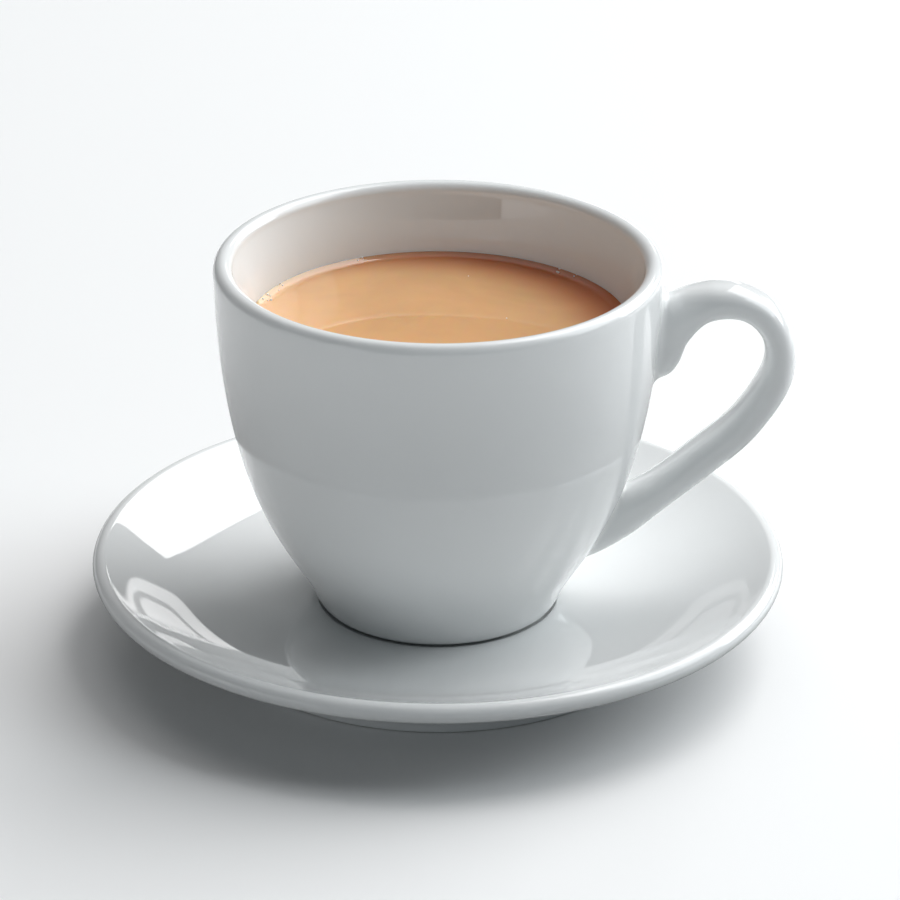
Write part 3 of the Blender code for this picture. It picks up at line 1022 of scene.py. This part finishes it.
class Air(NodeWork):
    """The studio's surroundings: soft glows, leaf-shaped lights, and plain white past the floor."""

    def __init__(self):
        world = bpy.data.worlds.new("studio_air")
        world.use_nodes = True
        super().__init__(world.node_tree)
        self.direction = self.node("ShaderNodeTexCoord").outputs["Generated"]
        light = AIR_LIGHT
        for added in (*(self.glow(*glow) for glow in GLOWS), *(self.leaf(*leaf) for leaf in LEAVES)):
            light = self.node("ShaderNodeVectorMath", {0: light, 1: added}, operation="ADD").outputs[0]
        given = self.node("ShaderNodeBackground", {"Color": light}).outputs[0]
        seen = self.node("ShaderNodeBackground", {"Color": (1, 1, 1, 1)}).outputs[0]
        by_camera = self.node("ShaderNodeLightPath").outputs["Is Camera Ray"]
        choice = self.node("ShaderNodeMixShader", {0: by_camera, 1: given, 2: seen}).outputs[0]
        self.feed(self.tree.nodes["World Output"].inputs["Surface"], choice)
        bpy.context.scene.world = world

    def glow(self, name, bearing, elevation, inner, outer, brightness, tint):
        nearness = self.along(towards(bearing, elevation))
        gone, full = (math.cos(math.radians(angle)) for angle in (outer, inner))
        links = {0: tint, "Scale": self.ramp(nearness, gone, full, 0, brightness, name=name)}
        return self.node("ShaderNodeVectorMath", links, operation="SCALE").outputs[0]

    def along(self, axis):
        """How far the direction goes along an axis."""
        return self.measure("DOT_PRODUCT", self.direction, axis)

    def outline(self, middle, halves, lean):
        """1 on the outline of a leaning rounded rectangle in the sky, less inside and more outside."""
        ahead = towards(*middle)
        right = ahead.cross(Vector((0, 0, 1))).normalized()
        up = right.cross(ahead)
        turn = math.radians(lean)
        lengthwise = up * math.cos(turn) + right * math.sin(turn)
        crosswise = right * math.cos(turn) - up * math.sin(turn)
        powers = []
        for axis, half in ((crosswise, halves[0]), (lengthwise, halves[1])):
            offset = self.along(axis / math.sin(math.radians(half)))
            powers.append(self.sum_up("POWER", self.sum_up("ABSOLUTE", offset), LEAF_SQUARENESS))
        shape = self.sum_up("POWER", self.sum_up("ADD", *powers), 1 / LEAF_SQUARENESS)
        behind = self.sum_up("LESS_THAN", self.along(ahead), 0.0)
        return self.sum_up("MULTIPLY_ADD", behind, WELL_OUTSIDE, shape)

    def leaf(self, name, middle, rib_middle, halves, rib_halves, lean, brightness):
        edge = self.outline(middle, halves, lean)
        inside = self.ramp(edge, LEAF_FADES_FROM, 1.0, brightness, 0.0, "LINEAR", name=name)
        from_rib = self.sum_up("SUBTRACT", self.outline(rib_middle, rib_halves, lean), 1.0)
        off_rib = self.sum_up("ABSOLUTE", from_rib)
        ribbed = self.ramp(off_rib, RIB_CORE, RIB_REACH, RIB_LIGHT, 1.0, "LINEAR", name=name + "_rib")
        shown = self.sum_up("MULTIPLY", inside, ribbed)
        return self.node("ShaderNodeCombineXYZ", {0: shown, 1: shown, 2: shown}).outputs[0]


def set_up_lights():
    for panel in PANELS:
        panel_light(*panel)
    Air()
    bpy.context.scene.view_settings.view_transform = "Standard"


def set_up_camera():
    """Looks down on the cup from the front, through a long lens."""
    rise = math.radians(CAMERA_RISE)
    data = bpy.data.cameras.new("camera")
    data.lens = CAMERA_LENS
    data.clip_start = 0.01
    placed = Matrix.Translation(Vector((0, -math.cos(rise), math.sin(rise))) * CAMERA_DISTANCE + CAMERA_AIM)
    for turn, axis in ((-CAMERA_YAW, "Z"), (90 - CAMERA_RISE + CAMERA_DIP, "X"), (CAMERA_ROLL, "Z")):
        placed @= Matrix.Rotation(math.radians(turn), 4, axis)
    camera = in_scene("camera", data)
    camera.matrix_world = placed
    bpy.context.scene.camera = camera


# ---- panel and registration ----
class CoffeePanel(bpy.types.Panel):
    """Sizes, colours and the steps that make the cup of coffee"""

    bl_idname = "VIEW3D_PT_cup_of_coffee"
    bl_label = "Cup of Coffee"
    bl_space_type = "VIEW_3D"
    bl_region_type = "UI"
    bl_category = "Coffee"

    def draw(self, context):
        layout = self.layout
        shown = context.scene.cup_of_coffee
        for group in ("saucer", "cup", "drink", "bubbles", "looks"):
            box = layout.box()
            box.label(text=group.capitalize())
            sizes = getattr(shown, group)
            for name in sizes.bl_rna.properties.keys():
                if name not in ("rna_type", "name"):
                    box.prop(sizes, name)
        for operator in OPERATORS:
            layout.operator(operator.bl_idname)


OPERATORS = (MakeSaucer, MakeCup, PourDrink, AddBubbles, MakeStudio)
CLASSES = (SaucerSizes, CupSizes, DrinkSizes, BubbleSizes, Looks, CoffeeSettings, *OPERATORS, CoffeePanel)


def register():
    for each in CLASSES:
        bpy.utils.register_class(each)
    bpy.types.Scene.cup_of_coffee = PointerProperty(type=CoffeeSettings)


def unregister():
    del bpy.types.Scene.cup_of_coffee
    for each in reversed(CLASSES):
        bpy.utils.unregister_class(each)


def main():
    register()
    bpy.ops.coffee.saucer()
    bpy.ops.coffee.cup()
    bpy.ops.coffee.drink()
    bpy.ops.coffee.bubbles()
    bpy.ops.coffee.studio()


if __name__ == "__main__":
    main()
